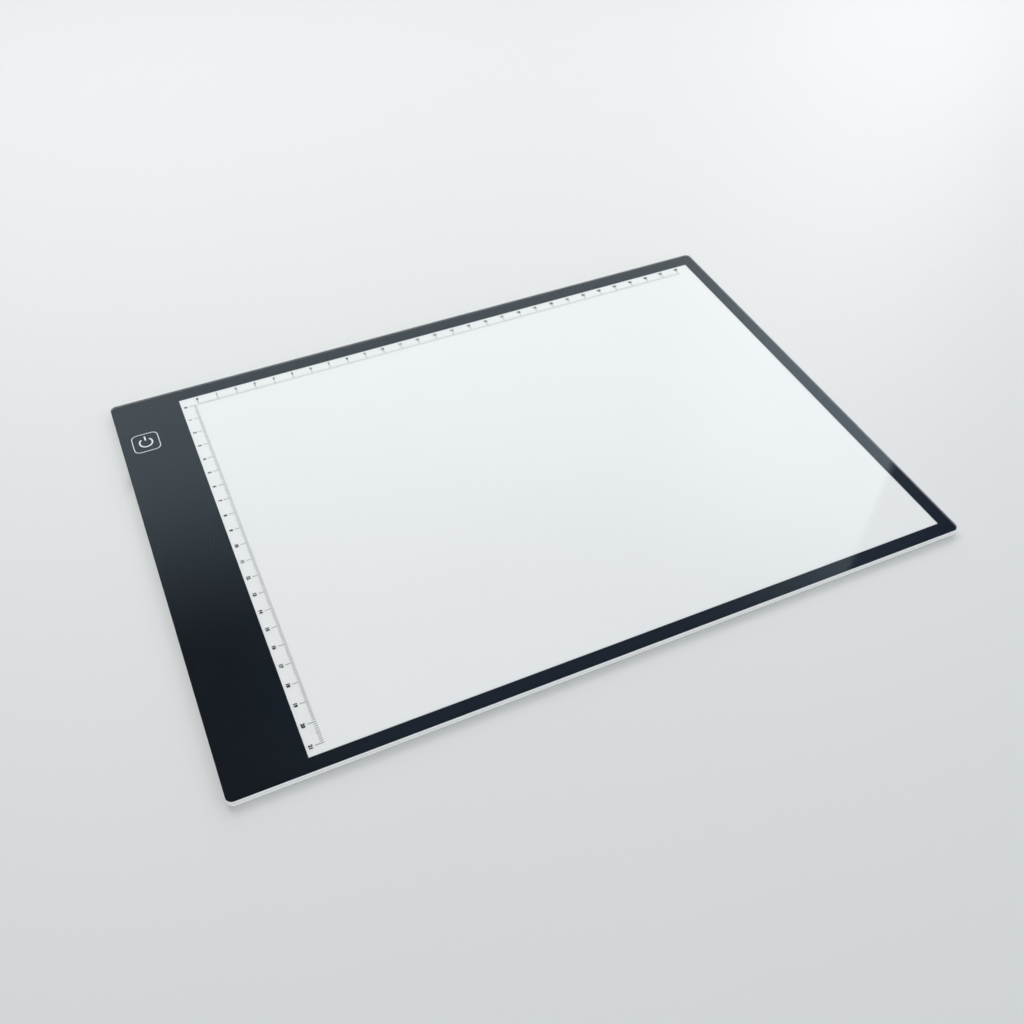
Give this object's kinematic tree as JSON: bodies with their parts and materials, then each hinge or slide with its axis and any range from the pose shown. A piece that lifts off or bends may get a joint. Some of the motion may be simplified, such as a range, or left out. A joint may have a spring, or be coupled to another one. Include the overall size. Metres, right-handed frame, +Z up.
{
  "type": "light box",
  "caption": "Thin A4 tracing light box: clear front panel with a black printed border over a white diffuser, shallow white back cover, side LED strip and touch key.",
  "frame": {"origin": "middle of the footprint, on the surface that the rubber feet stand on", "axes": "+X along the long side, away from the wide control band; +Y to the far long side; +Z up out of the lit window"},
  "size_m": [0.337, 0.2356, 0.004],
  "materials": {
    "clear_acrylic": "clear polished sheet with frosted sawn edges",
    "light_guide": "clear sheet with printed dots underneath",
    "white_cover": "fine satin moulded white",
    "black_ink": "blue-black screen print seen through the panel",
    "diffuser_white": "milky translucent sheet",
    "reflector_white": "white film",
    "shield_tape": "black tape",
    "clear_tape": "double-sided tape",
    "green_board": "green solder resist",
    "white_board": "white solder resist",
    "led_body": "white package with yellow phosphor",
    "copper_foil": "copper foil",
    "socket_steel": "bright folded sheet",
    "black_plastic": "moulded black",
    "chip_resin": "moulded black resin",
    "capacitor_tan": "ceramic",
    "red_wire": "insulated wire",
    "black_wire": "insulated wire",
    "white_wire": "insulated wire",
    "foot_rubber": "soft matt rubber"
  },
  "bodies": {
    "root": {"control_board": "green_board", "current_resistor_1": "chip_resin", "current_resistor_2": "chip_resin", "diffuser_sheet": "diffuser_white", "front_panel": "clear_acrylic", "led_01": "led_body", "led_02": "led_body", "led_03": "led_body", "led_04": "led_body", "led_05": "led_body", "led_06": "led_body", "led_07": "led_body", "led_08": "led_body", "led_09": "led_body", "led_10": "led_body", "led_11": "led_body", "led_12": "led_body", "led_13": "led_body", "led_14": "led_body", "led_15": "led_body", "led_16": "led_body", "led_17": "led_body", "led_18": "led_body", "led_19": "led_body", "led_20": "led_body", "led_21": "led_body", "led_22": "led_body", "led_23": "led_body", "led_24": "led_body", "led_25": "led_body", "led_26": "led_body", "led_27": "led_body", "led_28": "led_body", "led_driver_transistor": "chip_resin", "led_lead_negative": "black_wire", "led_lead_positive": "red_wire", "led_light_shield": "shield_tape", "led_strip_board": "white_board", "light_guide_plate": "light_guide", "printed_border": "black_ink", "rear_cover": "white_cover", "reflector_film": "reflector_white", "rim_tape_far": "clear_tape", "rim_tape_left_far": "clear_tape", "rim_tape_left_near": "clear_tape", "rim_tape_near": "clear_tape", "rim_tape_right": "clear_tape", "rubber_foot_1": "foot_rubber", "rubber_foot_2": "foot_rubber", "rubber_foot_3": "foot_rubber", "rubber_foot_4": "foot_rubber", "smoothing_capacitor": "capacitor_tan", "touch_controller_chip": "chip_resin", "touch_electrode": "copper_foil", "touch_lead": "white_wire", "usb_socket_shell": "socket_steel", "usb_socket_tongue": "black_plastic"}
  },
  "joints": []
}
